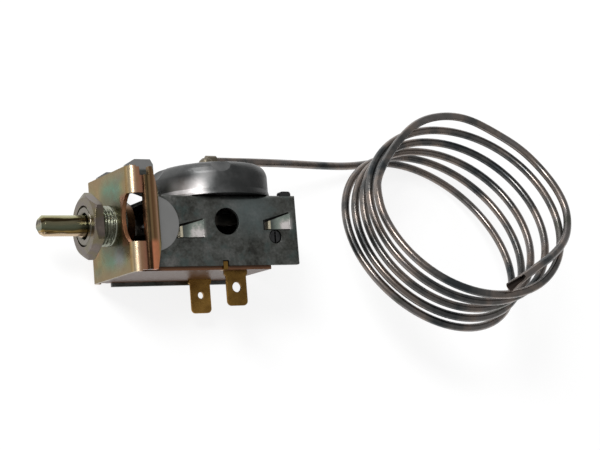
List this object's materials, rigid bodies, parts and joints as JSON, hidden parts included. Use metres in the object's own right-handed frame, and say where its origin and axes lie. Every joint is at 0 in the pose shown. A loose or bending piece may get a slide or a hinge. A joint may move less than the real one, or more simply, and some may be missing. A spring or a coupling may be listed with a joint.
{
  "type": "capillary contact thermostat",
  "caption": "Capillary thermostat with a yellow folded bracket, threaded bush and D spindle, pressed case with a round diaphragm cup, two blade terminals and a coiled capillary",
  "frame": {"origin": "on the spindle axis, at the front face of the bracket plate, where the panel bears", "axes": "the spindle points along -X, the diaphragm cup along +Y and the terminals along -Y; the part lies on its far side, so +Z is the side face with the two lanced tongues"},
  "size_m": [0.1609, 0.0691, 0.0542],
  "materials": {
    "chromated_steel": "yellow chromated sheet steel with a faint green and pink sheen",
    "plated_brass": "turned and plated, threaded outside",
    "zinc_steel": "zinc plated, warm grey",
    "chromated_rod": "turned rod, yellow-green chromate",
    "spring_steel": "bare spring steel",
    "brass": "rolled brass, slightly dulled",
    "galvanised_steel": "galvanised sheet, mottled dark grey",
    "pressed_steel": "drawn steel, satin dark grey",
    "braze": "braze fillet, dull",
    "capillary": "drawn tube, warm grey",
    "brown_moulding": "glossy dark red-brown phenolic moulding",
    "black_moulding": "black moulding",
    "silver": "silver contact button",
    "bronze": "spring bronze leaf"
  },
  "bodies": {
    "housing": {"mounting_bracket": "chromated_steel", "threaded_bush": "plated_brass", "panel_nut": "zinc_steel", "case_frame": "galvanised_steel", "diaphragm_cup": "pressed_steel", "capillary_ferrule": "braze", "element_base": "pressed_steel", "diaphragm": "spring_steel", "capillary_lead": "capillary", "capillary_coil": "capillary", "capillary_end": "capillary", "terminal_base": "brown_moulding", "terminal_far": "brass", "terminal_near": "brass", "fixed_contact": "silver", "contact_strap": "brass", "arm_post": "brass", "main_lever_pin": "spring_steel", "range_lever_pin": "spring_steel", "rear_block": "black_moulding"},
    "spindle": {"spindle": "chromated_rod", "retaining_ring": "spring_steel", "range_cam": "brass"},
    "range_rocker": {"range_lever": "zinc_steel", "range_spring": "spring_steel"},
    "main_rocker": {"main_lever": "zinc_steel", "insulating_pusher": "black_moulding"},
    "thrust": {"thrust_pin": "spring_steel"},
    "arm": {"contact_arm": "bronze", "moving_contact": "silver"},
    "trim": {"trim_screw": "zinc_steel"}
  },
  "joints": [
    {"name": "spindle_turn", "type": "hinge", "parent": "housing", "child": "spindle", "pos_m": [0, 0, 0], "axis": [1, 0, 0], "range_deg": [0, 270]},
    {"name": "range_lever_rock", "type": "hinge", "parent": "housing", "child": "range_rocker", "pos_m": [0.0108, -0.0075, 0], "axis": [0, 0, 1], "range_deg": [-0.2, 8.82], "deforming": ["range_spring"]},
    {"name": "main_lever_rock", "type": "hinge", "parent": "housing", "child": "main_rocker", "pos_m": [0.0125, 0.0004, 0], "axis": [0, 0, 1], "range_deg": [-1.6, 1.6], "stiffness_Nm_per_rad": 0.6},
    {"name": "thrust_pin_slide", "type": "slide", "parent": "housing", "child": "thrust", "axis": [0, 1, 0], "range_m": [-0.0006, 0.0006]},
    {"name": "contact_arm_rock", "type": "hinge", "parent": "housing", "child": "arm", "pos_m": [0.0145, -0.0063, -0.0085], "axis": [0, 0, 1], "range_deg": [-1.9, 1.9]},
    {"name": "trim_screw_turn", "type": "hinge", "parent": "housing", "child": "trim", "pos_m": [0.04395, -0.0051, 0], "axis": [0, 0, 1], "range_deg": [-180, 180]}
  ],
  "couplings": [
    {"joint": "range_lever_rock", "follows": "spindle_turn", "ratio": 0.031911},
    {"joint": "thrust_pin_slide", "follows": "main_lever_rock", "m_per_rad": 0.0185},
    {"joint": "contact_arm_rock", "follows": "main_lever_rock", "ratio": 1.085}
  ]
}
